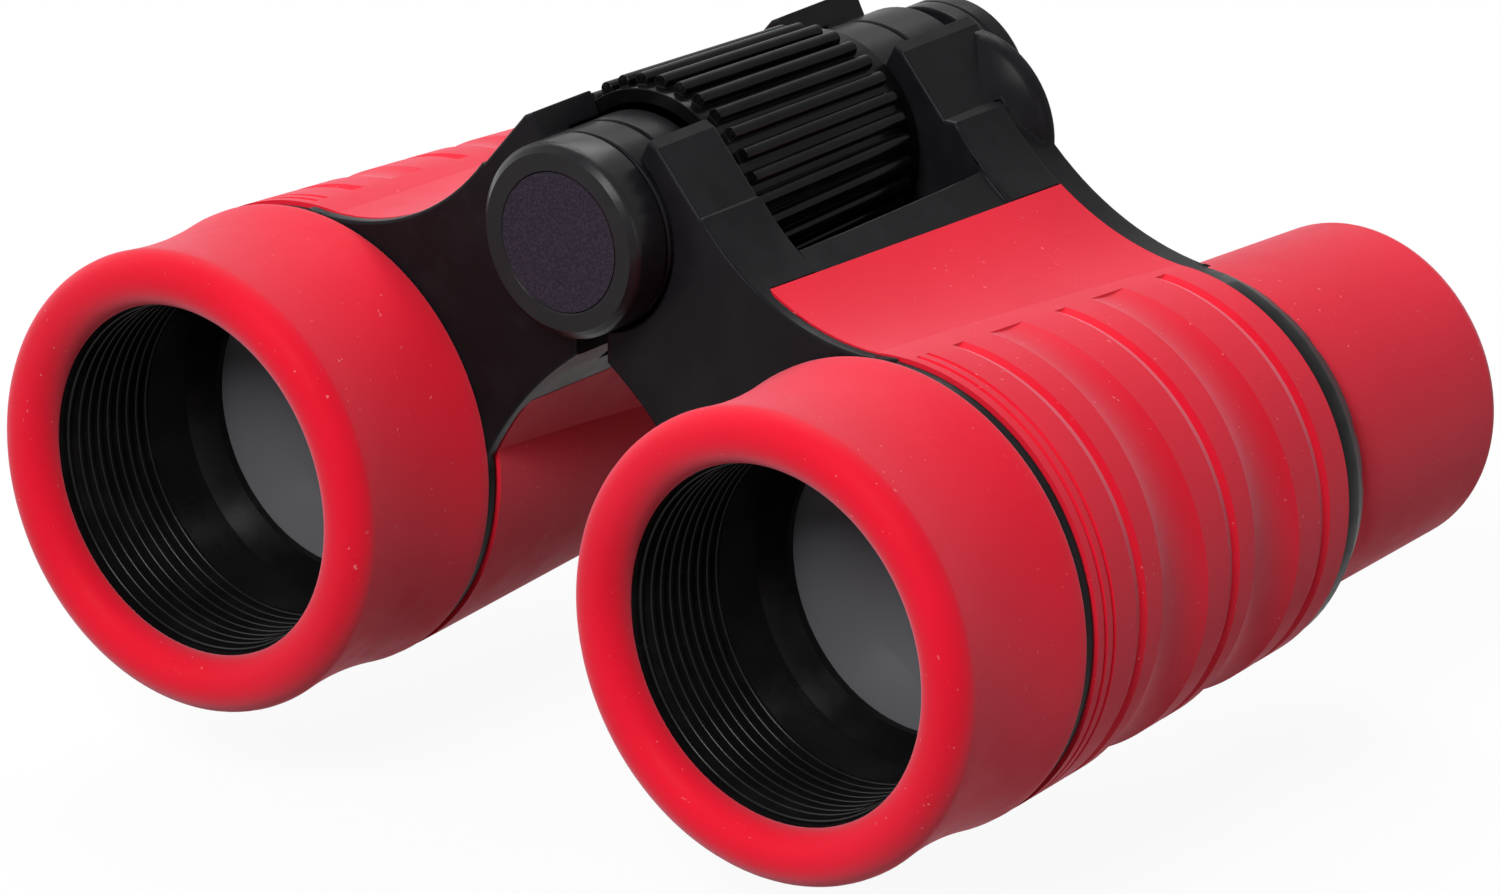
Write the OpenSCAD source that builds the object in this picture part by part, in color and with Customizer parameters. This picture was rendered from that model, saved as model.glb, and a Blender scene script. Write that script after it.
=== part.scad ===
// Toy binoculars: two barrels on a centre hinge, with a ribbed focus wheel between
// the front and rear walls that slides both eyepieces through a bridge behind the hinge.
// Millimetres. The objectives face -Y, +X is the right barrel, +Z is up.
// The origin is under the middle of the object, on the plane that the barrels lie on.

/* [Overall] */
// Distance between the two barrel axes
axis_spacing = 65.2; // [62:0.2:70]
// Height of the hinge axis above the barrel axes
hinge_rise = 25.8; // [25:0.1:28]
// Objective ring, from the front of its lip to the front face of the body
ring_l = 18; // [17:0.5:21]
// Front wall, which holds the two front knuckles
front_wall_l = 8; // [7:0.5:10]
// Opening for the focus wheel, along the barrels
pocket_l = 26; // [23:0.5:31]
// Rear wall, which holds the two rear knuckles
rear_wall_l = 11; // [10:0.5:13]
// Eyecup length outside the rear wall
eyecup_out_l = 24; // [21:0.5:29]

/* [Objective] */
// Radius of the objective lens
lens_r = 15; // [14:0.1:16]
// Thickness of the lens at its rim
lens_rim_t = 2; // [1.5:0.1:3]
// Radius of curvature of both lens faces
lens_curve_r = 80; // [60:5:120]
// Wall of the objective cell round the lens
cell_wall = 2; // [1.6:0.1:2.4]
// How much further out than the lens the opening in the lip of the ring is
aperture_step = 1; // [0.6:0.1:1.2]
// Length of the cell inside the barrel
cell_in_l = 12; // [10:0.5:14]
// Number of fine grooves inside the cell
groove_n = 8; // [4:1:9]
// Pitch of the grooves
groove_pitch = 1.25; // [1:0.05:1.3]
// Depth of the grooves
groove_depth = 0.5; // [0.2:0.05:0.6]
// How far the ring narrows between its lip and its rear edge
ring_waist = 0.55; // [0.2:0.05:0.8]

/* [Barrel and armour] */
// Wall of the body round the objective cell
front_tube_wall = 2.4; // [2:0.1:3]
// Wall of the body round the eyecup
rear_tube_wall = 0.9; // [0.8:0.1:1.5]
// Thickness of the soft armour
armour_t = 1.4; // [1.3:0.1:1.6]
// Black band in front of the armour
front_band_l = 1.4; // [1:0.1:2]
// Black band behind the armour
rear_band_l = 4; // [3:0.1:5]
// Depth of the two finger scallops
scallop_depth = 0.62; // [0.4:0.01:0.7]
// Width of the two finger scallops at the top
scallop_w = 7; // [5:0.5:8]
// Distance between neighbouring valleys of the grip
valley_pitch = 7.2; // [6.5:0.1:7.4]

/* [Hinge] */
// Radius of the front hinge pin
pin_r = 4; // [3.6:0.1:4.4]
// Material round the pin in the knuckles
knuckle_t = 4.7; // [4.2:0.1:5]
// Half width of the gap between the halves at the top
fork_half = 6.4; // [6:0.1:7]
// Half width of the gap between the halves at the bottom
slit_half = 1.6; // [1.5:0.1:2]
// Radius of the rounded shoulder on the rear wall
hump_r = 8.7; // [8.4:0.1:9.2]
// Length of the front cap
cap_l = 4.4; // [3.5:0.1:5]
// Radius of the inlaid disc in the cap
cap_disc_r = 6.2; // [5:0.1:6.5]

/* [Focus wheel] */
// Radius of the drum at its front end
drum_front_r = 10.4; // [10:0.1:10.8]
// Radius of the drum at its rear end
drum_rear_r = 9.5; // [9.2:0.1:10.8]
// Number of ribs round the drum
rib_n = 32; // [24:1:36]
// Radius of one rib
rib_r = 0.66; // [0.4:0.01:0.7]
// Room for a finger between the wheel and the sides of its opening
finger_gap = 4.6; // [3.5:0.1:5]
// Radius of the focus screw
screw_r = 3; // [2.6:0.1:3.2]

/* [Eyepiece] */
// Outer radius of the eyepiece tube
tube_r = 13.4; // [13:0.1:14]
// Wall of the eyecup at its base
eyecup_t = 2.4; // [2:0.1:2.8]
// How far the eyecup narrows towards the eye
eyecup_taper = 1; // [0.4:0.1:1.2]
// Wall of the eyepiece tube behind the sliding sleeve
tube_wall = 2.8; // [2.4:0.1:3.2]
// Radius of the eye lens
eye_lens_r = 11.4; // [11:0.1:11.6]
// Travel of the eyepieces each way from the middle
focus_travel = 2.2; // [1.5:0.1:2.6]

/* [Fits] */
// Radial room in a running or sliding fit
run_gap = 0.06; // [0.04:0.01:0.1]
// Room between seated pieces that don't move on each other
seat_gap = 0.03; // [0.02:0.01:0.05]
// Room between faces that pass each other
face_gap = 0.3; // [0.25:0.05:0.4]
// Seam round the armour
seam_gap = 0.12; // [0.08:0.01:0.2]

/* [Hidden] */
$fn = 96;
// Sides of the flat lens arcs
lens_fn = 1440;
// One overrun for every cut
over = 1;

// Radii of the barrel, from the glass outwards
aperture_r = lens_r + aperture_step;
cell_r = lens_r + seat_gap + cell_wall;
cell_bore_r = cell_r + seat_gap;
core_front_r = cell_bore_r + front_tube_wall;
barrel_front_r = core_front_r + seat_gap + armour_t;
ring_proud = 0.1;
ring_r = barrel_front_r + ring_proud;
eyecup_r = tube_r + seat_gap + eyecup_t;
cup_bore_r = eyecup_r + face_gap;
core_rear_r = cup_bore_r + rear_tube_wall;
barrel_rear_r = core_rear_r + seat_gap + armour_t;
sleeve_r = tube_r + run_gap;

// Axes
axis_x = axis_spacing / 2;
axis_z = ring_r;
hinge_z = axis_z + hinge_rise;

// Stations along the barrels, from the lip to the eyecup's end
overall_l = ring_l + front_wall_l + pocket_l + rear_wall_l + eyecup_out_l;
y_tip = -overall_l / 2;
y_face = y_tip + ring_l;
y_pocket = y_face + front_wall_l;
y_rear = y_pocket + pocket_l;
y_end = y_rear + rear_wall_l;
y_cup = y_end + eyecup_out_l;
y_armour = y_face + front_band_l;
y_armour_end = y_end - rear_band_l;
y_front_seam = (y_face + y_pocket) / 2;
y_rear_seam = (y_rear + y_end) / 2;

// Objective ring and cell
lip_r = (ring_r - aperture_r) / 2;
lip_wall = 0.6;
y_lip = y_tip + lip_r + lip_wall;
waist_half_share = 0.4;
waist_half_l = ring_l * waist_half_share;
waist_y = y_tip + lip_r + waist_half_l;
waist_r = (pow(waist_half_l, 2) + pow(ring_waist, 2)) / (2 * ring_waist);
y_cell = y_lip + seat_gap;
y_cell_end = y_face + cell_in_l;
seat_in_l = 4;
y_seat = y_face + seat_in_l;
seat_lip_t = 0.8;
seat_lip_w = 1.3;
clear_r = lens_r - seat_lip_w;
bevel_l = 2.2;
groove_start = 0.9;
cell_front_r = aperture_r - ring_proud;
cell_smooth_r = cell_front_r - groove_depth;
retainer_l = 3;

// Barrel, with its shoulder web cut by a tilted saddle and by an arch below
band_step = 0.3;
flange_step = 0.35;
rear_sink = 0.9;
rear_chamfer = 2.2;
saddle_front_in = 3.06;
saddle_front_up = 42.75;
saddle_rear_in = -2.85;
saddle_rear_up = 45.3;
saddle_bite = 0.1;
saddle_over = 6;
arch_in = 50.4;
arch_side = arch_in - axis_x;
arch_extra = 1.4;
arch_r = axis_x + arch_extra;
arch_wall = 1.7;
ledge_step = 0.4;
ledge_front_w = 2.2;
ledge_rear_w = 3.5;
under_edge_rise = 8;
shoulder_w = 5.6;
shoulder_drop = 5.8;
fork_flat_w = 1;
fork_flat_drop = 0.5;
mid_bore_wall = 3.2;
sleeve_l = 10;
plunge = 3.5;
y_cup_floor = y_end - plunge - focus_travel - face_gap;
y_sleeve = y_cup_floor - sleeve_l;

// Grip: two deep scallops between three fine valleys, and two fine lines at the front edge
scallop_r = (pow(scallop_w / 2, 2) + pow(scallop_depth, 2)) / (2 * scallop_depth);
valley_w = 1.6;
valley_depth = 0.35;
valley_start = 6.9;
scallop_lift = 0.36;
grip_in = 0.8;
line_w = 0.5;
line_depth = 0.25;
line_start = 1.3;
line_pitch = 1.3;
line_n = 2;

// Hinge
knuckle_r = pin_r + knuckle_t;
recess_r = knuckle_r + face_gap + seat_gap;
fork_wall = 0.25;
fork_z = hinge_z + recess_r + fork_wall;
arch_z = hinge_z - recess_r - arch_wall;
hump_x = 7.3;
hump_rise = -0.4;
hump_rim = 1.2;
hump_flare = 3.2;
hump_flare_l = 6.5;
hump_flare_r = (pow(hump_flare, 2) + pow(hump_flare_l, 2)) / (2 * hump_flare);
y_hump = y_end - hump_rim - hump_flare_l;
cap_r = knuckle_r + seat_gap;
cap_bevel = 0.8;
disc_t = 0.5;
y_cap_end = y_face - face_gap;
y_cap = y_cap_end - cap_l + face_gap;
cap_web = 1.2;

// Focus wheel, screw and bush
wheel_gap = 0.4;
y_wheel = y_pocket + wheel_gap;
y_wheel_end = y_rear - wheel_gap;
rib_sink_share = 0.2;
rib_tip_r = drum_front_r + rib_r * (2 - 2 * rib_sink_share);
rib_front_l = 1.2;
rib_rear_l = 2.2;
pocket_r = rib_tip_r + finger_gap;
rim_t = 1.3;
hub_wall = 2;
hub_r = pin_r + hub_wall;
journal_l = 3.5;
cavity_l = 8;
bush_wall = 1.9;
bush_bore_r = screw_r + run_gap;
bush_r = bush_bore_r + bush_wall;
y_pin_end = y_wheel + journal_l;
y_bush = y_wheel_end - journal_l;
y_screw = y_pin_end + focus_travel + face_gap;

// Bridge behind the rear wall
bridge_gap = 0.4;
y_arm = y_end + focus_travel + bridge_gap;
arm_t = 4.2;
y_arm_end = y_arm + arm_t;
y_lap = (y_arm + y_arm_end) / 2;
lap_gap = 0.1;
arm_hub_r = 8;
arm_half = 3.2;
arm_reach = norm([axis_x, hinge_rise]);
arm_angle = -atan2(hinge_rise, axis_x);
washer_t = 0.8;
washer_r = 5.4;
head_t = 1.6;
head_r = 4;
bolt_r = 1.4;
bolt_l = 5;
y_washer = y_arm_end + lap_gap;
y_head = y_washer + washer_t;
slot_w = 0.9;
slot_depth = 0.7;

// Eyepiece
y_eyecup = y_end - plunge;
tube_in_l = 9.7;
y_tube = y_cup_floor - tube_in_l;
cup_lip_l = 4;
y_tube_end = y_cup - cup_lip_l;
eye_seat_l = 5;
y_eye_seat = y_tube_end - eye_seat_l;
tube_bore_r = tube_r - tube_wall;
eye_rim_t = 1.5;
eye_curve_r = 40;
eye_ring_w = 1.6;
eye_clear_r = eye_lens_r - eye_ring_w;
cup_tip_r = eyecup_r - eyecup_taper;
cup_lip_w = 1.5;
cup_mouth_r = tube_r - cup_lip_w;
cup_round = (cup_tip_r - cup_mouth_r) / 2;
window_gap = 0.1;

red = "#e3202e";
black = "#232225";
wheel_black = "#18181a";
glass = "#7c8088";
disc_grey = "#3a3542";
steel = "#b4b6ba";

// Height of a lens face of curvature c at radius r, below its middle
function sag(c, r) = c - sqrt(c * c - r * r);

// Radius of the armour at a station
function barrel_r(y) = barrel_front_r
  + (barrel_rear_r - barrel_front_r) * (y - y_armour) / (y_armour_end - y_armour);

// Extrudes an outline drawn in X and Z from one station to another
module along_y(y0, y1) {
  translate([0, y1, 0]) rotate([90, 0, 0]) linear_extrude(y1 - y0) children();
}

// Turns a profile drawn in radius and Y about an axis along Y
module turned(x, z) {
  translate([x, 0, z]) rotate([-90, 0, 0]) rotate_extrude() children();
}

module barrel_turned() {
  turned(axis_x, axis_z) children();
}

module hinge_turned() {
  turned(0, hinge_z) children();
}

// Ring profile between two radii and two stations
module band(r0, r1, y0, y1) {
  translate([r0, y0]) square([r1 - r0, y1 - y0]);
}

// A round bar along Y
module bar(x, z, r, y0, y1) {
  translate([x, y0, z]) rotate([-90, 0, 0]) cylinder(h = y1 - y0, r = r);
}

// A cone between two points
module cone_between(a, b, ra, rb) {
  d = b - a;
  translate(a) rotate([0, acos(d[2] / norm(d)), atan2(d[1], d[0])])
    cylinder(h = norm(d), r1 = ra, r2 = rb);
}

// Saddle that hollows the shoulder between hinge and barrel, sunk by t
function saddle_at(y, k) =
  [axis_x - saddle_front_in + (saddle_front_in - saddle_rear_in) * k, y,
   axis_z + saddle_front_up + (saddle_rear_up - saddle_front_up) * k];
function saddle_reach(y, k) =
  norm([saddle_at(y, k)[0] - axis_x, saddle_at(y, k)[2] - axis_z]) - barrel_r(y) + saddle_bite;

module saddle(t) {
  k = saddle_over / (y_end - y_face);
  y0 = y_face - saddle_over;
  y1 = y_end + saddle_over;
  cone_between(
    saddle_at(y0, -k), saddle_at(y1, 1 + k),
    saddle_reach(y0, -k) + t, saddle_reach(y1, 1 + k) + t
  );
}

// Arch under the hinge, sunk by t
module arch(t) {
  drop = sqrt(pow(arch_r, 2) - pow(arch_side, 2));
  bar(-arch_side, arch_z - drop, arch_r + t, y_face - over, y_end + over);
}

// Shoulder web between the hinge and the barrel, sunk by t
module web(t) {
  contact_x = axis_x - (saddle_front_in + saddle_rear_in) / 4;
  difference() {
    along_y(y_face, y_end) polygon([
      [slit_half, axis_z],
      [slit_half, hinge_z],
      [fork_half, fork_z],
      [fork_half + fork_flat_w, fork_z - fork_flat_drop],
      [fork_half + shoulder_w, fork_z - shoulder_drop - t],
      [contact_x, fork_z - shoulder_drop - t],
      [contact_x, axis_z]
    ]);
    saddle(t);
    arch(t);
  }
}

// Tapered barrel, sunk by t
module barrel(t) {
  barrel_turned() polygon([
    [0, y_armour],
    [barrel_front_r - t, y_armour],
    [barrel_rear_r - t, y_armour_end],
    [0, y_armour_end]
  ]);
}

// Space that the armour covers, drawn in by a seam
module armour_zone(seam) {
  y0 = y_armour + seam;
  y1 = y_armour_end - seam;
  reach = axis_x + ring_r + over;
  ledge_x = pocket_r + seam;
  difference() {
    translate([0, y0, -over]) cube([reach, y1 - y0, fork_z + 2 * over]);
    translate([0, 0, axis_z + under_edge_rise - seam]) linear_extrude(fork_z) polygon([
      [-over, y0 - over],
      [ledge_x + ledge_front_w, y0 - over],
      [ledge_x + ledge_rear_w, y1 + over],
      [-over, y1 + over]
    ]);
  }
}

// Rounded shoulder that flares out to the rear face of the right half
module hump() {
  difference() {
    turned(hump_x, hinge_z + hump_rise) difference() {
      band(0, hump_r, y_hump, y_end);
      translate([hump_r - hump_flare + hump_flare_r, y_hump]) circle(r = hump_flare_r);
    }
    translate([slit_half - hump_r * 2, y_rear - over, axis_z])
      cube([hump_r * 2, rear_wall_l + 2 * over, hinge_rise + hump_r * 2]);
  }
}

// Outside of the right body, before its bores and its hinge
module half_shell() {
  barrel_turned() polygon([
    [0, y_face],
    [barrel_front_r - band_step, y_face],
    [barrel_front_r - band_step, y_armour],
    [core_front_r, y_armour],
    [core_rear_r, y_armour_end],
    [barrel_rear_r - flange_step, y_armour_end],
    [barrel_rear_r - flange_step, y_end - rear_chamfer],
    [core_rear_r, y_end],
    [0, y_end]
  ]);
  web(armour_t + seat_gap);
  difference() {
    web(0);
    armour_zone(0);
  }
}

// Black body of the right barrel. Its knuckles lie next to the wheel, or outside those of the other half.
module half_body(outer_knuckles) {
  front_knuckle = outer_knuckles
    ? [y_face, y_front_seam - face_gap / 2] : [y_front_seam + face_gap / 2, y_pocket];
  rear_knuckle = outer_knuckles
    ? [y_rear_seam + face_gap / 2, y_end] : [y_rear, y_rear_seam - face_gap / 2];
  front_recess = outer_knuckles
    ? [y_front_seam - face_gap / 2, y_pocket + over] : [y_face - over, y_front_seam + face_gap / 2];
  rear_recess = outer_knuckles
    ? [y_rear - over, y_rear_seam + face_gap / 2] : [y_rear_seam - face_gap / 2, y_end + over];
  fit = outer_knuckles ? run_gap : seat_gap;
  difference() {
    union() {
      difference() {
        union() {
          difference() {
            half_shell();
            intersection() {
              saddle(rear_sink);
              translate([0, y_armour_end, axis_z]) cube([axis_spacing, rear_band_l + over, hinge_rise * 2]);
            }
          }
          if (!outer_knuckles) hump();
        }
        bar(0, hinge_z, recess_r, front_recess[0], front_recess[1]);
        bar(0, hinge_z, recess_r, rear_recess[0], rear_recess[1]);
        bar(0, hinge_z, pocket_r, y_pocket, y_rear);
        intersection() {
          saddle(ledge_step);
          translate([0, y_pocket, axis_z]) cube([axis_x, pocket_l, hinge_rise * 2]);
        }
      }
      bar(0, hinge_z, knuckle_r, front_knuckle[0], front_knuckle[1]);
      bar(0, hinge_z, knuckle_r, rear_knuckle[0], rear_knuckle[1]);
    }
    barrel_turned() {
      band(0, cell_bore_r, y_face - over, y_cell_end + seat_gap);
      band(0, core_front_r - mid_bore_wall, y_face, y_sleeve);
      band(0, sleeve_r, y_face, y_end);
      band(0, cup_bore_r, y_cup_floor, y_end + over);
    }
    bar(0, hinge_z, pin_r + fit, y_face - over, y_pocket + over);
    bar(0, hinge_z, bush_r + fit, y_rear - over, y_end + over);
  }
}

// Outer side of the barrel, where the grip is cut
module grip_side() {
  translate([axis_x + grip_in, y_armour - over, -over])
    cube([ring_r * 2, y_end - y_face, ring_r * 2 + 2 * over]);
}

// Scallops, valleys and lines that are cut into the outer side of the armour
module grip_cuts() {
  intersection() {
    turned(axis_x, axis_z + scallop_lift) for (i = [0, 1]) {
      y = y_armour + valley_start + valley_pitch * (2 * i + 1);
      translate([barrel_r(y) - scallop_depth + scallop_r, y]) circle(r = scallop_r);
    }
    grip_side();
  }
  intersection() {
    barrel_turned() {
      for (i = [0, 1, 2]) {
        y = y_armour + valley_start + valley_pitch * 2 * i;
        translate([barrel_r(y), y]) polygon([
          [-valley_depth, 0],
          [valley_depth, -valley_w],
          [valley_depth, valley_w]
        ]);
      }
      for (i = [0 : line_n - 1]) {
        y = y_armour + line_start + line_pitch * i;
        translate([barrel_r(y), y]) polygon([
          [-line_depth, 0],
          [line_depth, -line_w],
          [line_depth, line_w]
        ]);
      }
    }
    grip_side();
  }
}

module half_armour() {
  difference() {
    intersection() {
      union() {
        barrel(0);
        web(0);
      }
      armour_zone(seam_gap);
    }
    barrel_turned() polygon([
      [0, y_face],
      [core_front_r + seat_gap, y_armour],
      [core_rear_r + seat_gap, y_armour_end],
      [0, y_end]
    ]);
    web(armour_t);
    grip_cuts();
  }
}

module half_ring() {
  barrel_turned() difference() {
    union() {
      translate([ring_r - lip_r, y_tip + lip_r]) circle(r = lip_r);
      band(aperture_r, ring_r, y_tip + lip_r, y_lip);
      band(cell_bore_r, ring_r, y_lip - lip_wall, y_face - seat_gap);
    }
    translate([ring_r - ring_waist + waist_r, waist_y]) circle(r = waist_r);
    band(0, cell_bore_r, y_lip, y_face);
  }
}

module half_cell() {
  y_groove = y_cell + groove_start;
  y_groove_end = y_groove + groove_n * groove_pitch;
  grooves = [for (i = [groove_n - 1 : -1 : 0]) each [
    [cell_smooth_r, y_groove + (i + 1) * groove_pitch],
    [cell_front_r, y_groove + i * groove_pitch]
  ]];
  barrel_turned() polygon(concat(
    [
      [cell_front_r, y_cell],
      [cell_r, y_cell],
      [cell_r, y_cell_end],
      [lens_r + seat_gap, y_cell_end],
      [lens_r + seat_gap, y_seat],
      [clear_r, y_seat],
      [clear_r, y_seat - seat_lip_t],
      [cell_smooth_r, y_seat - seat_lip_t - bevel_l]
    ],
    grooves
  ));
}

// Lens with two curved faces: rim from y0 to y1
module lens_profile(r, c, y0, y1) {
  h = sag(c, r);
  intersection() {
    band(0, r, y0 - h, y1 + h);
    translate([0, y0 - h + c]) circle(r = c, $fn = lens_fn);
    translate([0, y1 + h - c]) circle(r = c, $fn = lens_fn);
  }
}

y_lens = y_seat + sag(lens_curve_r, lens_r) - sag(lens_curve_r, clear_r) + seat_gap;
y_retainer = y_lens + lens_rim_t + sag(lens_curve_r, lens_r) - sag(lens_curve_r, clear_r) + seat_gap;

module half_lens() {
  barrel_turned() lens_profile(lens_r, lens_curve_r, y_lens, y_lens + lens_rim_t);
}

module half_retainer() {
  barrel_turned() band(clear_r, lens_r, y_retainer, y_retainer + retainer_l);
}

module half_tube() {
  barrel_turned() {
    band(tube_bore_r, tube_r, y_tube, y_eye_seat);
    band(eye_lens_r + seat_gap, tube_r, y_eye_seat, y_tube_end);
  }
}

y_eye_lens = y_eye_seat + sag(eye_curve_r, eye_lens_r) - sag(eye_curve_r, tube_bore_r) + seat_gap;
eye_drop = sag(eye_curve_r, eye_lens_r) - sag(eye_curve_r, eye_clear_r);
y_eye_retainer = y_eye_lens + eye_rim_t + eye_drop + seat_gap;

module half_eye_lens() {
  barrel_turned() lens_profile(eye_lens_r, eye_curve_r, y_eye_lens, y_eye_lens + eye_rim_t);
}

module half_eye_retainer() {
  barrel_turned() band(eye_clear_r, eye_lens_r, y_eye_retainer, y_tube_end);
}

// Straight arm outline from the hinge axis to the barrel axis, w wide each way
module arm_outline(r0, r1, w) {
  translate([0, hinge_z]) rotate(arm_angle) translate([r0, -w]) square([r1 - r0, 2 * w]);
}

module half_eyecup() {
  difference() {
    barrel_turned() {
      polygon([
        [tube_r + seat_gap, y_eyecup],
        [eyecup_r, y_eyecup],
        [eyecup_r, y_end],
        [cup_tip_r, y_cup - cup_round],
        [cup_mouth_r, y_cup - cup_round],
        [cup_mouth_r, y_tube_end + seat_gap],
        [tube_r + seat_gap, y_tube_end + seat_gap]
      ]);
      translate([cup_tip_r - cup_round, y_cup - cup_round]) circle(r = cup_round);
    }
    along_y(y_arm - window_gap, y_arm_end + window_gap)
      arm_outline(arm_reach - eyecup_r - over, arm_reach - tube_bore_r, arm_half + window_gap);
  }
}

// Focus arm with its hub in the front or the rear half of its thickness
module half_arm(front_hub) {
  hub_y = front_hub ? [y_arm, y_lap - lap_gap / 2] : [y_lap + lap_gap / 2, y_arm_end];
  lap_y = front_hub ? [y_lap - lap_gap / 2, y_arm_end + over] : [y_arm - over, y_lap + lap_gap / 2];
  difference() {
    union() {
      bar(0, hinge_z, arm_hub_r, hub_y[0], hub_y[1]);
      difference() {
        along_y(y_arm, y_arm_end) arm_outline(0, arm_reach, arm_half);
        bar(0, hinge_z, arm_hub_r + face_gap, lap_y[0], lap_y[1]);
        bar(axis_x, axis_z, tube_r + seat_gap, y_arm - over, y_arm_end + over);
      }
    }
    bar(0, hinge_z, screw_r + (front_hub ? seat_gap : run_gap), y_arm - over, y_arm_end + over);
  }
}

module on_left() {
  mirror([1, 0, 0]) children();
}

module right_body() { color(black) half_body(false); }
module left_body() { color(black) on_left() half_body(true); }
module right_armour() { color(red) half_armour(); }
module left_armour() { color(red) on_left() half_armour(); }
module right_objective_ring() { color(red) half_ring(); }
module left_objective_ring() { color(red) on_left() half_ring(); }
module right_objective_cell() { color(black) half_cell(); }
module left_objective_cell() { color(black) on_left() half_cell(); }
module right_objective_lens() { color(glass) half_lens(); }
module left_objective_lens() { color(glass) on_left() half_lens(); }
module right_lens_retainer() { color(black) half_retainer(); }
module left_lens_retainer() { color(black) on_left() half_retainer(); }
module right_eyepiece_tube() { color(black) half_tube(); }
module left_eyepiece_tube() { color(black) on_left() half_tube(); }
module right_eyecup() { color(red) half_eyecup(); }
module left_eyecup() { color(red) on_left() half_eyecup(); }
module right_eye_lens() { color(glass) half_eye_lens(); }
module left_eye_lens() { color(glass) on_left() half_eye_lens(); }
module right_eye_retainer() { color(black) half_eye_retainer(); }
module left_eye_retainer() { color(black) on_left() half_eye_retainer(); }
module right_focus_arm() { color(black) half_arm(true); }
module left_focus_arm() { color(black) on_left() half_arm(false); }

module front_cap() {
  color(black) hinge_turned() difference() {
    polygon([
      [0, y_cap],
      [cap_r - cap_bevel, y_cap],
      [cap_r, y_cap + cap_bevel],
      [cap_r, y_cap_end],
      [0, y_cap_end]
    ]);
    band(0, cap_disc_r + seat_gap, y_cap - over, y_cap + disc_t);
    band(0, pin_r + seat_gap, y_cap + disc_t + cap_web, y_cap_end + over);
  }
}

module cap_disc() {
  color(disc_grey) hinge_turned() band(0, cap_disc_r, y_cap + seat_gap, y_cap + disc_t);
}

module front_hinge_pin() {
  color(steel) bar(0, hinge_z, pin_r, y_cap + disc_t + cap_web + seat_gap, y_pin_end);
}

module rear_hinge_bush() {
  color(steel) hinge_turned() band(bush_bore_r, bush_r, y_bush, y_end);
}

module focus_wheel() {
  rib_front = rib_tip_r - rib_r;
  rib_rear = rib_front + drum_rear_r - drum_front_r;
  color(wheel_black) union() {
    hinge_turned() {
      difference() {
        polygon([
          [0, y_wheel],
          [drum_front_r, y_wheel],
          [drum_rear_r, y_wheel_end],
          [0, y_wheel_end]
        ]);
        band(hub_r, drum_front_r - rim_t, y_wheel - over, y_wheel + cavity_l);
        band(hub_r + bush_wall, drum_rear_r - rim_t, y_wheel_end - cavity_l, y_wheel_end + over);
        band(0, screw_r + run_gap, y_wheel, y_wheel_end);
        band(0, pin_r + run_gap, y_wheel - over, y_screw);
        band(0, bush_r + run_gap, y_bush - face_gap, y_wheel_end + over);
      }
    }
    for (i = [0 : rib_n - 1]) {
      translate([0, 0, hinge_z]) rotate([0, i * 360 / rib_n, 0])
        cone_between(
          [rib_front, y_wheel + rib_front_l, 0], [rib_rear, y_wheel_end - rib_rear_l, 0], rib_r, rib_r
        );
    }
  }
}

module focus_screw() {
  color(steel) hinge_turned() difference() {
    band(0, screw_r, y_screw, y_arm_end);
    band(0, bolt_r + seat_gap, y_arm_end - bolt_l, y_arm_end + over);
  }
}

module bridge_washer() {
  color(steel) hinge_turned() band(bolt_r + seat_gap, washer_r, y_washer, y_head - seat_gap);
}

module bridge_screw() {
  color(steel) difference() {
    hinge_turned() {
      band(0, bolt_r, y_arm_end - bolt_l + seat_gap, y_head + over);
      band(0, head_r, y_head, y_head + head_t);
    }
    translate([-head_r, y_head + head_t - slot_depth, hinge_z - slot_w / 2])
      cube([head_r * 2, slot_depth + over, slot_w]);
  }
}

right_body();
left_body();
right_armour();
left_armour();
right_objective_ring();
left_objective_ring();
right_objective_cell();
left_objective_cell();
right_objective_lens();
left_objective_lens();
right_lens_retainer();
left_lens_retainer();
right_eyepiece_tube();
left_eyepiece_tube();
right_eyecup();
left_eyecup();
right_eye_lens();
left_eye_lens();
right_eye_retainer();
left_eye_retainer();
right_focus_arm();
left_focus_arm();
front_cap();
cap_disc();
front_hinge_pin();
rear_hinge_bush();
focus_wheel();
focus_screw();
bridge_washer();
bridge_screw();
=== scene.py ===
"""Looks of the toy binoculars: materials, softened edges, floor, light and camera."""

import math

import bpy
from mathutils import Matrix, Vector


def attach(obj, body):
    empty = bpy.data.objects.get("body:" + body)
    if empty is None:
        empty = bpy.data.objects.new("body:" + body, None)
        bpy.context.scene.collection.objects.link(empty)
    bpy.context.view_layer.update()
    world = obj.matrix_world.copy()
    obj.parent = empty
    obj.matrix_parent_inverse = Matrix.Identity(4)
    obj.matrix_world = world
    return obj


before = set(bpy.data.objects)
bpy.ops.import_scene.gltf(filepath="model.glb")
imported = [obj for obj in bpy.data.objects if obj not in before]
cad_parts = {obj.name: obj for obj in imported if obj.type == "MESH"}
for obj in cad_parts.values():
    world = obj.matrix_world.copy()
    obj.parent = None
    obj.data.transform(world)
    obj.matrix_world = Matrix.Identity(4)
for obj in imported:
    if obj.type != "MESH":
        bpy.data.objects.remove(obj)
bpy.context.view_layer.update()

scene = bpy.context.scene

MM = 0.001
WHITE = (1.0, 1.0, 1.0)

# Camera: place and lens, fitted to the round parts of the photograph
VIEW_AZIMUTH = 38.751
VIEW_ELEVATION = 19.965
VIEW_ROLL = -0.241
VIEW_DISTANCE = 0.932103
VIEW_TARGET = Vector((-6.653, 4.5, 16.897)) * MM
VIEW_CLIP_END = 20.0
SENSOR_WIDTH = 36.0
PHOTO_WIDTH = 1500
FOCAL_PIXELS = 10454.4

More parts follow.
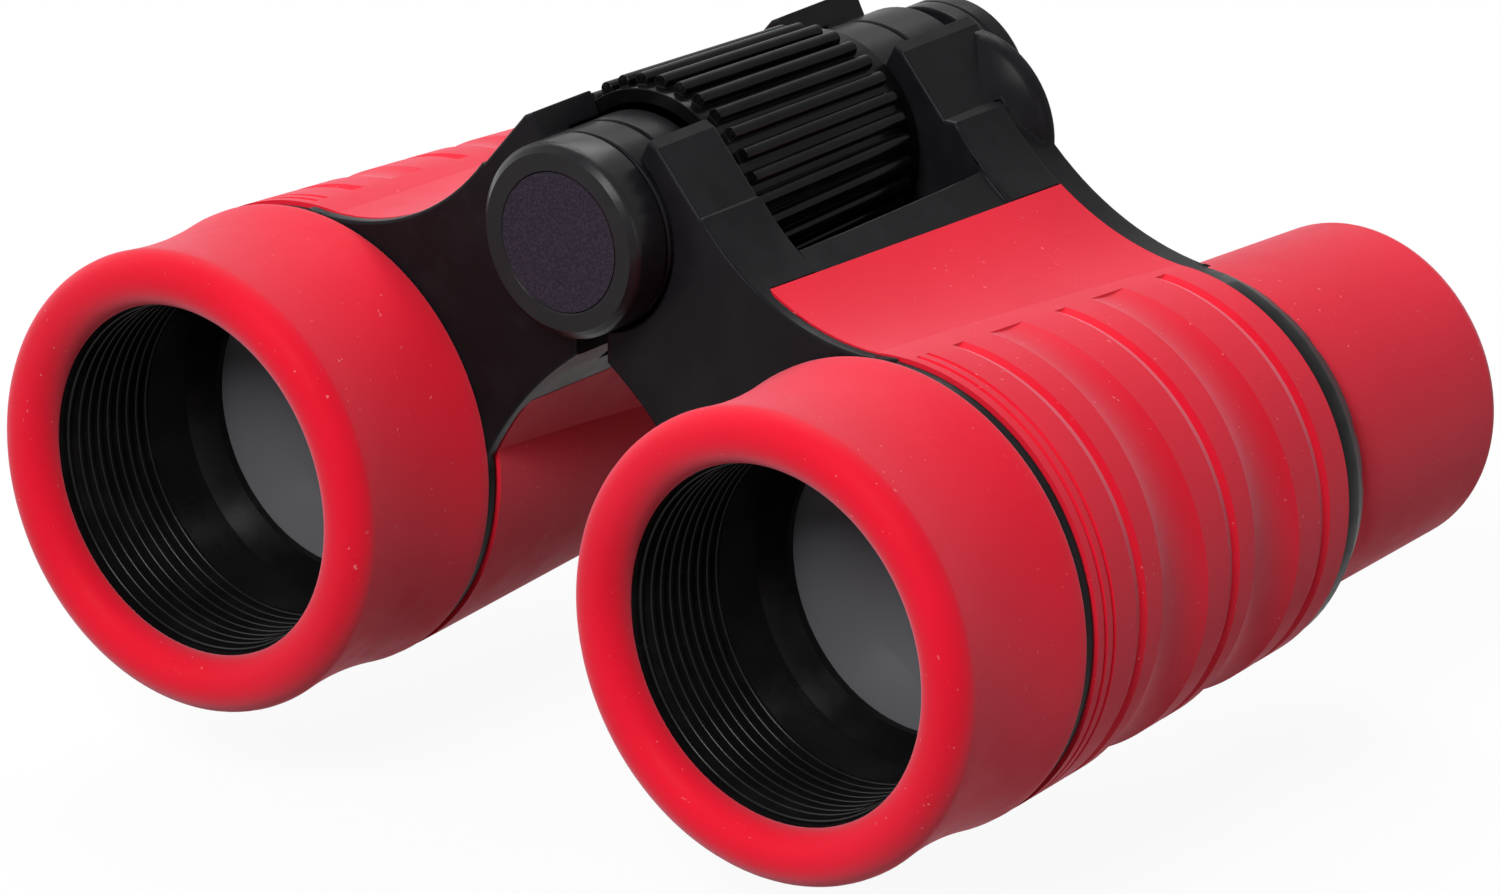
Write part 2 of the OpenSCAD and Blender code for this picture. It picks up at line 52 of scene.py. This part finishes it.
# Soft boxes: azimuth and elevation in degrees, distance and size in metres, power in watts
LIGHTS = {
    "key_rear_left": (-138, 56, 1.1, 0.7, 7.8),
    "front_above": (18, 40, 1.3, 0.5, 14.6),
    "left_front": (-50, 20, 1.3, 0.6, 4.0),
    "right_low": (78, 14, 1.4, 0.5, 1.5),
}
LIGHT_AIM = Vector((0.0, 0.0, 25.0)) * MM
WORLD_LIGHT = 0.09

# Floor. The folded left half reaches 7.6 mm below the plane that the barrels lie on
FLOOR_HALF = 2.5
FLOOR_DROP = 7.8 * MM
FLOOR_PALE = (0.24, 0.24, 0.24)
FLOOR_GLOW = 1.245
FLOOR_GLOW_SHARE = 0.75

# For all materials: the part of a noise's range that is spread out, and the strength of the grain
MIDDLE = (0.3, 0.7)
GRAIN_STRENGTH = 0.5

# Red rubber
RED_DEEP = (0.70, 0.0052, 0.0215)
RED_BRIGHT = (0.775, 0.0072, 0.0275)
RED_DUST = (0.88, 0.26, 0.27)
RUBBER_PATCH = 18 * MM
RUBBER_SPECK = 0.55 * MM
RUBBER_SPECK_RANGE = (0.735, 0.775)
RUBBER_DUST_AREA = 11 * MM
RUBBER_DUST_RANGE = (0.42, 0.62)
RUBBER_DUST_SHARE = (0.0, 0.55)
RUBBER_MATT_SPOT = 2.2 * MM
RUBBER_ROUGHNESS = (0.46, 0.56)
RUBBER_GRAIN = 0.32 * MM
RUBBER_GRAIN_DEPTH = 0.02 * MM
RUBBER_GLOSS = 0.03
RUBBER_SHEEN = 0.27
RUBBER_SHEEN_ROUGHNESS = 0.5
RUBBER_SHEEN_TINT = (0.95, 0.84, 1.0, 1.0)

# Black plastics: two colours, range of roughness, depth of the grain, gloss and coat
BLACK_DEEP = (0.0078, 0.0072, 0.0085)
BLACK_WORN = (0.0125, 0.0118, 0.0134)
CELL_BLACK = (0.0042, 0.0041, 0.0044)
CELL_GREY = (0.0075, 0.0073, 0.0078)
WHEEL_BLACK = (0.0026, 0.0026, 0.0029)
WHEEL_WORN = (0.0062, 0.006, 0.0066)
PLASTICS = {
    "black": (BLACK_DEEP, BLACK_WORN, (0.28, 0.38), 0.010 * MM, 0.06, 0.0),
    "cap": (BLACK_DEEP, BLACK_WORN, (0.26, 0.36), 0.006 * MM, 0.16, 0.0),
    "cell": (CELL_BLACK, CELL_GREY, (0.18, 0.28), 0.006 * MM, 0.10, 0.0),
    "ridge": (CELL_BLACK, CELL_GREY, (0.20, 0.30), 0.002 * MM, 0.14, 0.0),
    "wheel": (WHEEL_BLACK, WHEEL_WORN, (0.16, 0.26), 0.004 * MM, 0.04, 0.06),
}
PLASTIC_RUB = 6 * MM
PLASTIC_RUB_RANGE = (0.45, 0.72)
PLASTIC_MATT_SPOT = 3 * MM
PLASTIC_GRAIN = 0.28 * MM
PLASTIC_COAT_ROUGHNESS = 0.12

# Inlaid disc
DISC_DARK = (0.012, 0.0088, 0.0155)
DISC_PALE = (0.031, 0.0245, 0.040)
DISC_GRAIN = 0.22 * MM
DISC_GRAIN_RANGE = (0.42, 0.66)
DISC_GRAIN_DEPTH = 0.02 * MM
DISC_GRAIN_STRENGTH = 0.6
DISC_MATT_SPOT = 0.5 * MM
DISC_ROUGHNESS = (0.5, 0.68)
DISC_GLOSS = 0.12

# Glass
GLASS_TINT = (0.26, 0.26, 0.28)
GLASS_EDGE = (0.22, 0.215, 0.235)
GLASS_CLOUD = 16 * MM
GLASS_CLOUD_RANGE = (0.4, 0.7)
GLASS_DUST = 1.2 * MM
GLASS_DUST_RANGE = (0.55, 0.8)
GLASS_ROUGHNESS = (0.0, 0.05)
GLASS_CLEAR = 0.35
GLASS_IOR = 1.52
GLASS_GLOSS = 0.6

# Steel
STEEL_DARK = (0.40, 0.40, 0.42)
STEEL_PALE = (0.66, 0.66, 0.68)
STEEL_MARK = 0.25 * MM
STEEL_MARK_DEPTH = 0.01 * MM
STEEL_MARK_STRETCH = (0.15, 1.0, 0.15)
STEEL_ROUGHNESS = (0.26, 0.42)

# Finish of each node, by the end of its name, and the radius of its softened edges
NODE_LOOKS = {
    "body": ("black", 0.3 * MM),
    "armour": ("red", 0.0),
    "objective_ring": ("red", 0.3 * MM),
    "objective_cell": ("cell", 0.0),
    "objective_lens": ("glass", 0.0),
    "lens_retainer": ("cell", 0.0),
    "eyepiece_tube": ("cell", 0.0),
    "eyecup": ("red", 0.3 * MM),
    "eye_lens": ("glass", 0.0),
    "eye_retainer": ("cell", 0.0),
    "focus_arm": ("black", 0.25 * MM),
    "front_cap": ("cap", 0.2 * MM),
    "cap_disc": ("disc", 0.0),
    "front_hinge_pin": ("steel", 0.0),
    "rear_hinge_bush": ("steel", 0.0),
    "focus_wheel": ("wheel", 0.1 * MM),
    "focus_screw": ("steel", 0.0),
    "bridge_washer": ("steel", 0.08 * MM),
    "bridge_screw": ("steel", 0.12 * MM),
}
EDGE_ANGLE = math.radians(64)
EDGE_STEPS = 3
WELD_DISTANCE = 0.0005 * MM
FACE_WEIGHT = 100

# Ridges inside the objective cells: axis of the right cell, place of the first ridge, and sizes
CELL_X = 32.6 * MM
CELL_Z = 20.99 * MM
RIDGE_N = 9
RIDGE_PITCH = 1.25 * MM
RIDGE_Y = -39.67 * MM
RIDGE_RING_R = 15.6 * MM
FRONT_RIDGE_RING_R = 15.75 * MM
RIDGE_R = 0.2 * MM
RING_STEPS = 160
ROUND_STEPS = 12


class Shader:
    """A material with one Principled shader and small helpers for its nodes."""

    def __init__(self, name):
        self.material = bpy.data.materials.new(name)
        self.material.use_nodes = True
        self.tree = self.material.node_tree
        self.bsdf = self.tree.nodes["Principled BSDF"]
        self.place = self.tree.nodes.new("ShaderNodeTexCoord").outputs["Object"]

    def link(self, output, target):
        self.tree.links.new(output, target)

    def set(self, **values):
        """Constants on the shader's own sockets; an underscore stands for a space."""
        for key, value in values.items():
            self.bsdf.inputs[key.replace("_", " ")].default_value = value

    def noise(self, cell, detail=2.0, roughness=0.5, stretch=None):
        """Noise with cells of about that size in metres."""
        node = self.tree.nodes.new("ShaderNodeTexNoise")
        node.inputs["Scale"].default_value = 1.0 / cell
        node.inputs["Detail"].default_value = detail
        node.inputs["Roughness"].default_value = roughness
        place = self.place
        if stretch:
            mapping = self.tree.nodes.new("ShaderNodeMapping")
            mapping.inputs["Scale"].default_value = stretch
            self.link(place, mapping.inputs["Vector"])
            place = mapping.outputs["Vector"]
        self.link(place, node.inputs["Vector"])
        return node.outputs["Fac"]

    def spread(self, value, source, target=(0.0, 1.0)):
        """Maps a value from one range to another, clamped."""
        node = self.tree.nodes.new("ShaderNodeMapRange")
        for key, number in zip(("From Min", "From Max", "To Min", "To Max"), source + target):
            node.inputs[key].default_value = number
        self.link(value, node.inputs["Value"])
        return node.outputs["Result"]

    def times(self, a, b):
        node = self.tree.nodes.new("ShaderNodeMath")
        node.operation = "MULTIPLY"
        self.link(a, node.inputs[0])
        self.link(b, node.inputs[1])
        return node.outputs["Value"]

    def mix(self, share, a, b):
        """Mixes two colours, each a tuple or another node's output."""
        node = self.tree.nodes.new("ShaderNodeMix")
        node.data_type = "RGBA"
        self.link(share, node.inputs["Factor"])
        for key, colour in (("A", a), ("B", b)):
            socket = [s for s in node.inputs if s.name == key and s.type == "RGBA"][0]
            if isinstance(colour, tuple):
                socket.default_value = (*colour, 1.0)
            else:
                self.link(colour, socket)
        return [s for s in node.outputs if s.type == "RGBA"][0]

    def colour(self, output):
        self.link(output, self.bsdf.inputs["Base Color"])

    def roughness(self, output):
        self.link(output, self.bsdf.inputs["Roughness"])

    def bump(self, height, depth, strength=GRAIN_STRENGTH):
        """Surface relief of that depth in metres."""
        node = self.tree.nodes.new("ShaderNodeBump")
        node.inputs["Distance"].default_value = depth
        node.inputs["Strength"].default_value = strength
        self.link(height, node.inputs["Height"])
        self.link(node.outputs["Normal"], self.bsdf.inputs["Normal"])


def red_rubber():
    """Soft-touch rubber: matt with a faint sheen, a little uneven, with sparse dust specks."""
    s = Shader("red_rubber")
    patches = s.spread(s.noise(RUBBER_PATCH), MIDDLE)
    specks = s.spread(s.noise(RUBBER_SPECK, detail=1.0), RUBBER_SPECK_RANGE)
    dusty = s.spread(s.noise(RUBBER_DUST_AREA), RUBBER_DUST_RANGE, RUBBER_DUST_SHARE)
    base = s.mix(patches, RED_DEEP, RED_BRIGHT)
    s.colour(s.mix(s.times(specks, dusty), base, RED_DUST))
    s.roughness(s.spread(s.noise(RUBBER_MATT_SPOT, detail=3.0), MIDDLE, RUBBER_ROUGHNESS))
    s.bump(s.noise(RUBBER_GRAIN, roughness=0.6), RUBBER_GRAIN_DEPTH)
    s.set(
        Specular_IOR_Level=RUBBER_GLOSS,
        Sheen_Weight=RUBBER_SHEEN,
        Sheen_Roughness=RUBBER_SHEEN_ROUGHNESS,
        Sheen_Tint=RUBBER_SHEEN_TINT,
    )
    return s.material


def satin_black(name, deep, worn, roughness, grain_depth, gloss, coat):
    """Moulded black plastic: fine grain, uneven gloss, slightly paler where it is rubbed."""
    s = Shader(name)
    rubbed = s.spread(s.noise(PLASTIC_RUB, detail=4.0, roughness=0.6), PLASTIC_RUB_RANGE)
    s.colour(s.mix(rubbed, deep, worn))
    uneven = s.noise(PLASTIC_MATT_SPOT, detail=4.0, roughness=0.6)
    s.roughness(s.spread(uneven, MIDDLE, roughness))
    s.bump(s.noise(PLASTIC_GRAIN), grain_depth)
    s.set(Specular_IOR_Level=gloss, Coat_Weight=coat, Coat_Roughness=PLASTIC_COAT_ROUGHNESS)
    return s.material


def disc_inlay():
    """Dark purple-grey foil with a fine speckle."""
    s = Shader("disc_inlay")
    fine = s.spread(s.noise(DISC_GRAIN, roughness=0.7), DISC_GRAIN_RANGE)
    s.colour(s.mix(fine, DISC_DARK, DISC_PALE))
    s.roughness(s.spread(s.noise(DISC_MATT_SPOT), MIDDLE, DISC_ROUGHNESS))
    s.bump(s.noise(DISC_GRAIN), DISC_GRAIN_DEPTH, DISC_GRAIN_STRENGTH)
    s.set(Specular_IOR_Level=DISC_GLOSS)
    return s.material


def lens_glass():
    """Hazy glass with a tint that varies a little, and a trace of dust on the gloss."""
    s = Shader("lens_glass")
    tint = s.spread(s.noise(GLASS_CLOUD, detail=1.0), GLASS_CLOUD_RANGE)
    s.colour(s.mix(tint, GLASS_TINT, GLASS_EDGE))
    s.roughness(s.spread(s.noise(GLASS_DUST, detail=3.0), GLASS_DUST_RANGE, GLASS_ROUGHNESS))
    s.set(Transmission_Weight=GLASS_CLEAR, IOR=GLASS_IOR, Specular_IOR_Level=GLASS_GLOSS)
    return s.material


def turned_steel():
    """Steel with fine turning marks."""
    s = Shader("turned_steel")
    marks = s.noise(STEEL_MARK, roughness=0.6, stretch=STEEL_MARK_STRETCH)
    s.colour(s.mix(s.spread(marks, MIDDLE), STEEL_DARK, STEEL_PALE))
    s.roughness(s.spread(marks, MIDDLE, STEEL_ROUGHNESS))
    s.bump(marks, STEEL_MARK_DEPTH)
    s.set(Metallic=1.0)
    return s.material


def finishes():
    """The material of each finish, by the finish's name."""
    made = {name: satin_black(name + "_plastic", *values) for name, values in PLASTICS.items()}
    made["red"] = red_rubber()
    made["disc"] = disc_inlay()
    made["glass"] = lens_glass()
    made["steel"] = turned_steel()
    return made


def soften(piece, radius):
    """Rounds the edges of a CAD node for the picture. The mesh itself stays as it is."""
    weld = piece.modifiers.new("weld", "WELD")
    weld.merge_threshold = WELD_DISTANCE
    bevel = piece.modifiers.new("edges", "BEVEL")
    bevel.limit_method = "ANGLE"
    bevel.angle_limit = EDGE_ANGLE
    bevel.width = radius
    bevel.segments = EDGE_STEPS
    bevel.use_clamp_overlap = False
    even = piece.modifiers.new("even", "WEIGHTED_NORMAL")
    even.weight = FACE_WEIGHT
    even.keep_sharp = True


def add_mesh(name, points, faces, material):
    """A new object in the scene, with one material."""
    mesh = bpy.data.meshes.new(name)
    mesh.from_pydata(points, [], faces)
    mesh.materials.append(material)
    piece = bpy.data.objects.new(name, mesh)
    scene.collection.objects.link(piece)
    return piece


def ridges(side, sign, material):
    """Thin round rings inside one objective cell: the first on its front wall, the rest on crests."""
    points = []
    faces = []
    for k in range(RIDGE_N):
        start = len(points)
        ring_r = RIDGE_RING_R if k else FRONT_RIDGE_RING_R
        for i in range(RING_STEPS):
            turn = 2 * math.pi * i / RING_STEPS
            here = start + i * ROUND_STEPS
            there = start + (i + 1) % RING_STEPS * ROUND_STEPS
            for j in range(ROUND_STEPS):
                bend = 2 * math.pi * j / ROUND_STEPS
                after = (j + 1) % ROUND_STEPS
                r = ring_r + RIDGE_R * math.cos(bend)
                x = sign * CELL_X + r * math.cos(turn)
                y = RIDGE_Y + RIDGE_PITCH * k + RIDGE_R * math.sin(bend)
                z = CELL_Z + r * math.sin(turn)
                points.append((x, y, z))
                faces.append((here + j, here + after, there + after, there + j))
    piece = add_mesh(side + "_groove_ridges", points, faces, material)
    piece.data.shade_smooth()
    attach(piece, side + "_half")


def dress():
    """Gives each CAD node its material and its edges, and adds the ridges."""
    materials = finishes()
    ridges("right", 1, materials["ridge"])
    ridges("left", -1, materials["ridge"])
    for name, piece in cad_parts.items():
        finish, radius = NODE_LOOKS[name.removeprefix("right_").removeprefix("left_")]
        piece.data.materials.clear()
        piece.data.materials.append(materials[finish])
        if radius:
            soften(piece, radius)


def seen(tree):
    """1 for rays that show the surroundings themselves, otherwise 0."""
    path = tree.nodes.new("ShaderNodeLightPath")
    total = path.outputs["Is Camera Ray"]
    for key in ("Is Glossy Ray", "Is Transmission Ray"):
        node = tree.nodes.new("ShaderNodeMath")
        node.operation = "MAXIMUM"
        tree.links.new(total, node.inputs[0])
        tree.links.new(path.outputs[key], node.inputs[1])
        total = node.outputs["Value"]
    return total


def floor_white():
    """Pale floor that looks white and keeps the object's shadow."""
    material = bpy.data.materials.new("floor_white")
    material.use_nodes = True
    tree = material.node_tree
    tree.nodes.clear()
    diffuse = tree.nodes.new("ShaderNodeBsdfDiffuse")
    diffuse.inputs["Color"].default_value = (*FLOOR_PALE, 1.0)
    glow = tree.nodes.new("ShaderNodeEmission")
    glow.inputs["Color"].default_value = (*WHITE, 1.0)
    glow.inputs["Strength"].default_value = FLOOR_GLOW
    share = tree.nodes.new("ShaderNodeMath")
    share.operation = "MULTIPLY"
    share.inputs[1].default_value = FLOOR_GLOW_SHARE
    tree.links.new(seen(tree), share.inputs[0])
    mix = tree.nodes.new("ShaderNodeMixShader")
    tree.links.new(share.outputs["Value"], mix.inputs[0])
    tree.links.new(diffuse.outputs["BSDF"], mix.inputs[1])
    tree.links.new(glow.outputs["Emission"], mix.inputs[2])
    output = tree.nodes.new("ShaderNodeOutputMaterial")
    tree.links.new(mix.outputs["Shader"], output.inputs["Surface"])
    return material


def floor():
    """Plain floor below the object, in every pose."""
    h = FLOOR_HALF
    corners = [(-h, -h, 0.0), (h, -h, 0.0), (h, h, 0.0), (-h, h, 0.0)]
    piece = add_mesh("floor", corners, [(0, 1, 2, 3)], floor_white())
    piece.location.z = -FLOOR_DROP


def surroundings():
    """White studio: white where it is seen, and a soft even light elsewhere."""
    world = bpy.data.worlds.new("studio")
    world.use_nodes = True
    scene.world = world
    tree = world.node_tree
    background = tree.nodes["Background"]
    background.inputs["Color"].default_value = (*WHITE, 1.0)
    strength = tree.nodes.new("ShaderNodeMapRange")
    strength.inputs["To Min"].default_value = WORLD_LIGHT
    strength.inputs["To Max"].default_value = 1.0
    tree.links.new(seen(tree), strength.inputs["Value"])
    tree.links.new(strength.outputs["Result"], background.inputs["Strength"])


def direction(azimuth, elevation):
    """Unit vector from the object, in degrees. Azimuth 0 is in front, 90 on the right."""
    a = math.radians(azimuth)
    e = math.radians(elevation)
    return Vector((math.sin(a) * math.cos(e), -math.cos(a) * math.cos(e), math.sin(e)))


def soft_light(name, azimuth, elevation, distance, size, power):
    """Square soft box that looks at the object."""
    towards = direction(azimuth, elevation)
    lamp = bpy.data.objects.new(name, bpy.data.lights.new(name, "AREA"))
    lamp.data.size = size
    lamp.data.energy = power
    lamp.location = LIGHT_AIM + towards * distance
    lamp.rotation_euler = (-towards).to_track_quat("-Z", "Y").to_euler()
    scene.collection.objects.link(lamp)


def camera():
    """Camera at the photograph's angle, looking at the target."""
    back = direction(VIEW_AZIMUTH, VIEW_ELEVATION)
    right = direction(VIEW_AZIMUTH + 90, 0)
    up = back.cross(right)
    roll = Matrix.Rotation(math.radians(VIEW_ROLL), 3, "Z")
    turn = Matrix((right, up, back)).transposed() @ roll
    data = bpy.data.cameras.new("camera")
    data.sensor_fit = "HORIZONTAL"
    data.sensor_width = SENSOR_WIDTH
    data.lens = FOCAL_PIXELS / PHOTO_WIDTH * SENSOR_WIDTH
    data.clip_end = VIEW_CLIP_END
    piece = bpy.data.objects.new("camera", data)
    place = VIEW_TARGET + back * VIEW_DISTANCE
    piece.matrix_world = Matrix.Translation(place) @ turn.to_4x4()
    scene.collection.objects.link(piece)
    scene.camera = piece


scene.view_settings.view_transform = "Standard"
dress()
floor()
surroundings()
for light, values in LIGHTS.items():
    soft_light(light, *values)
camera()
